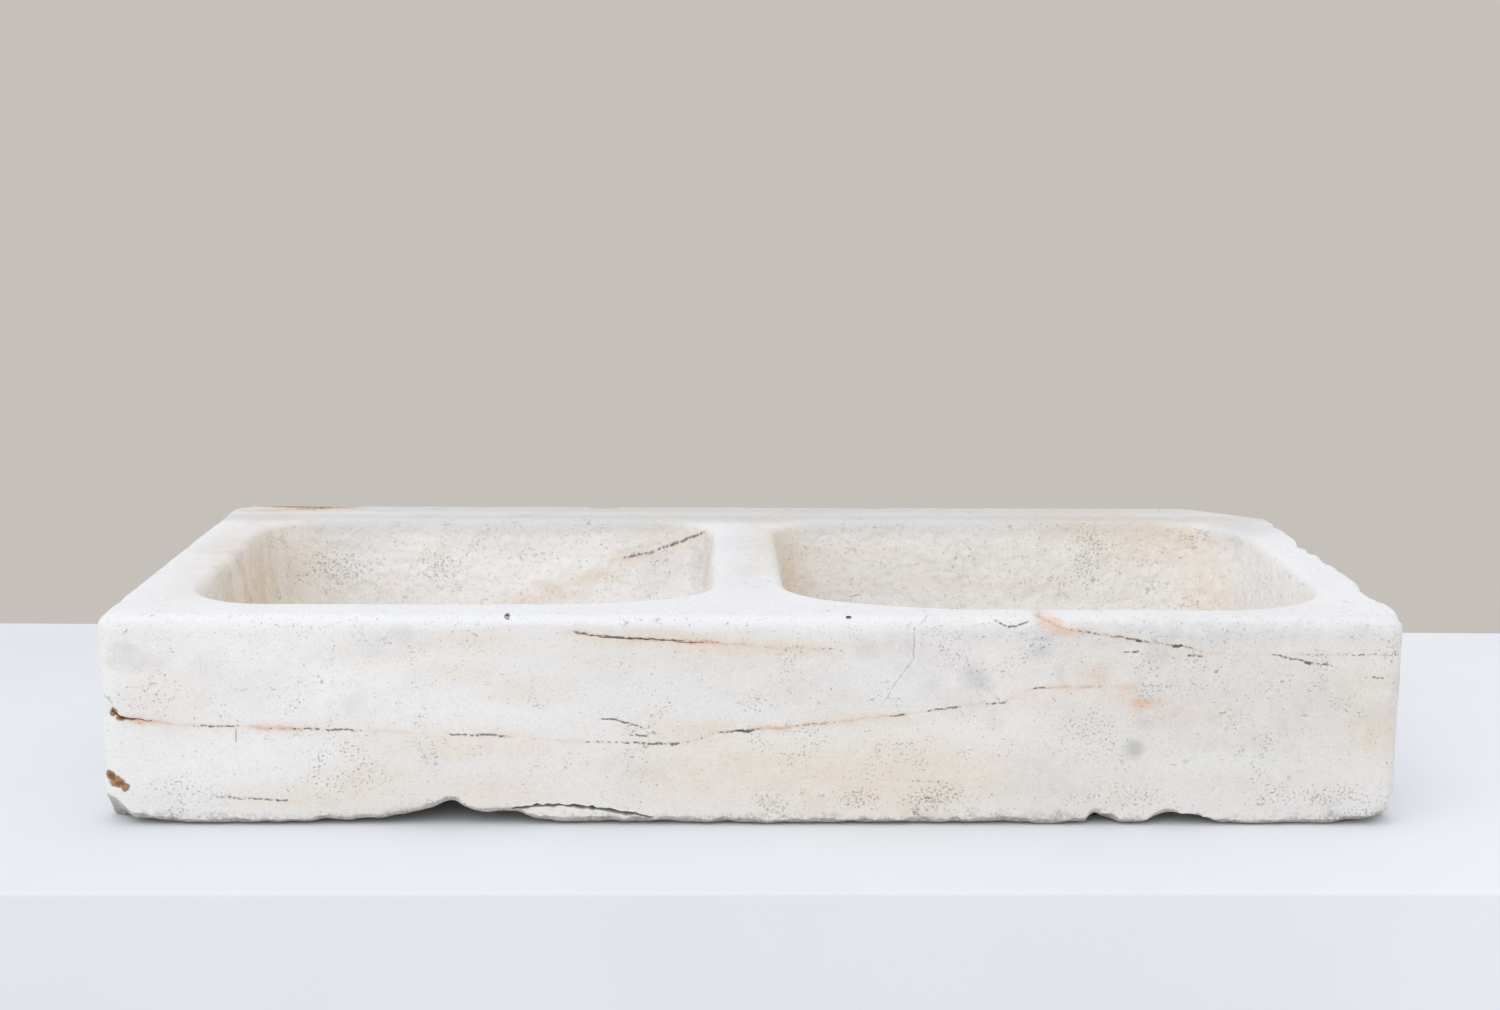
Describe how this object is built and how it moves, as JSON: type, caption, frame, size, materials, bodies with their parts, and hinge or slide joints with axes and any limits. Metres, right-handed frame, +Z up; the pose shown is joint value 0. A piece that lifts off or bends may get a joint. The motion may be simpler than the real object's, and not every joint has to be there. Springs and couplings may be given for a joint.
{
  "type": "marble washbasin",
  "caption": "Old washbasin carved from one marble block, with bowls side by side across a stone divider, each with a brass plug-and-ring waste to hold or drain water.",
  "frame": {"origin": "centre of the block's underside, on the surface it stands on", "axes": "+X along the front towards the right bowl, +Y from the front to the back, +Z up"},
  "size_m": [1.15, 0.54, 0.19],
  "materials": {
    "marble": "honed and worn, with rusty veins",
    "brass": "aged, unlacquered",
    "rubber": "matte black",
    "plastic": "plain off-white"
  },
  "bodies": {
    "basin": {"basin_block": "marble", "left_waste_body": "brass", "left_bed_washer": "rubber", "left_seal_washer": "rubber", "left_friction_washer": "plastic", "left_backnut": "brass", "right_waste_body": "brass", "right_bed_washer": "rubber", "right_seal_washer": "rubber", "right_friction_washer": "plastic", "right_backnut": "brass"},
    "left_plug": {"left_stopper": "rubber", "left_stopper_stud": "brass", "left_stopper_washer": "brass", "left_stopper_nut": "brass"},
    "left_ring": {"left_pull_ring": "brass"},
    "right_plug": {"right_stopper": "rubber", "right_stopper_stud": "brass", "right_stopper_washer": "brass", "right_stopper_nut": "brass"},
    "right_ring": {"right_pull_ring": "brass"}
  },
  "joints": [
    {"name": "left_plug_lift", "type": "slide", "parent": "basin", "child": "left_plug", "axis": [0, 0, 1], "range_m": [0, 0.16]},
    {"name": "left_ring_swing", "type": "hinge", "parent": "left_plug", "child": "left_ring", "pos_m": [-0.2745, -0.012, 0.0646], "axis": [1, 0, 0], "range_deg": [0, 180]},
    {"name": "right_plug_lift", "type": "slide", "parent": "basin", "child": "right_plug", "axis": [0, 0, 1], "range_m": [0, 0.16]},
    {"name": "right_ring_swing", "type": "hinge", "parent": "right_plug", "child": "right_ring", "pos_m": [0.2795, -0.0205, 0.0646], "axis": [1, 0, 0], "range_deg": [0, 180]}
  ]
}
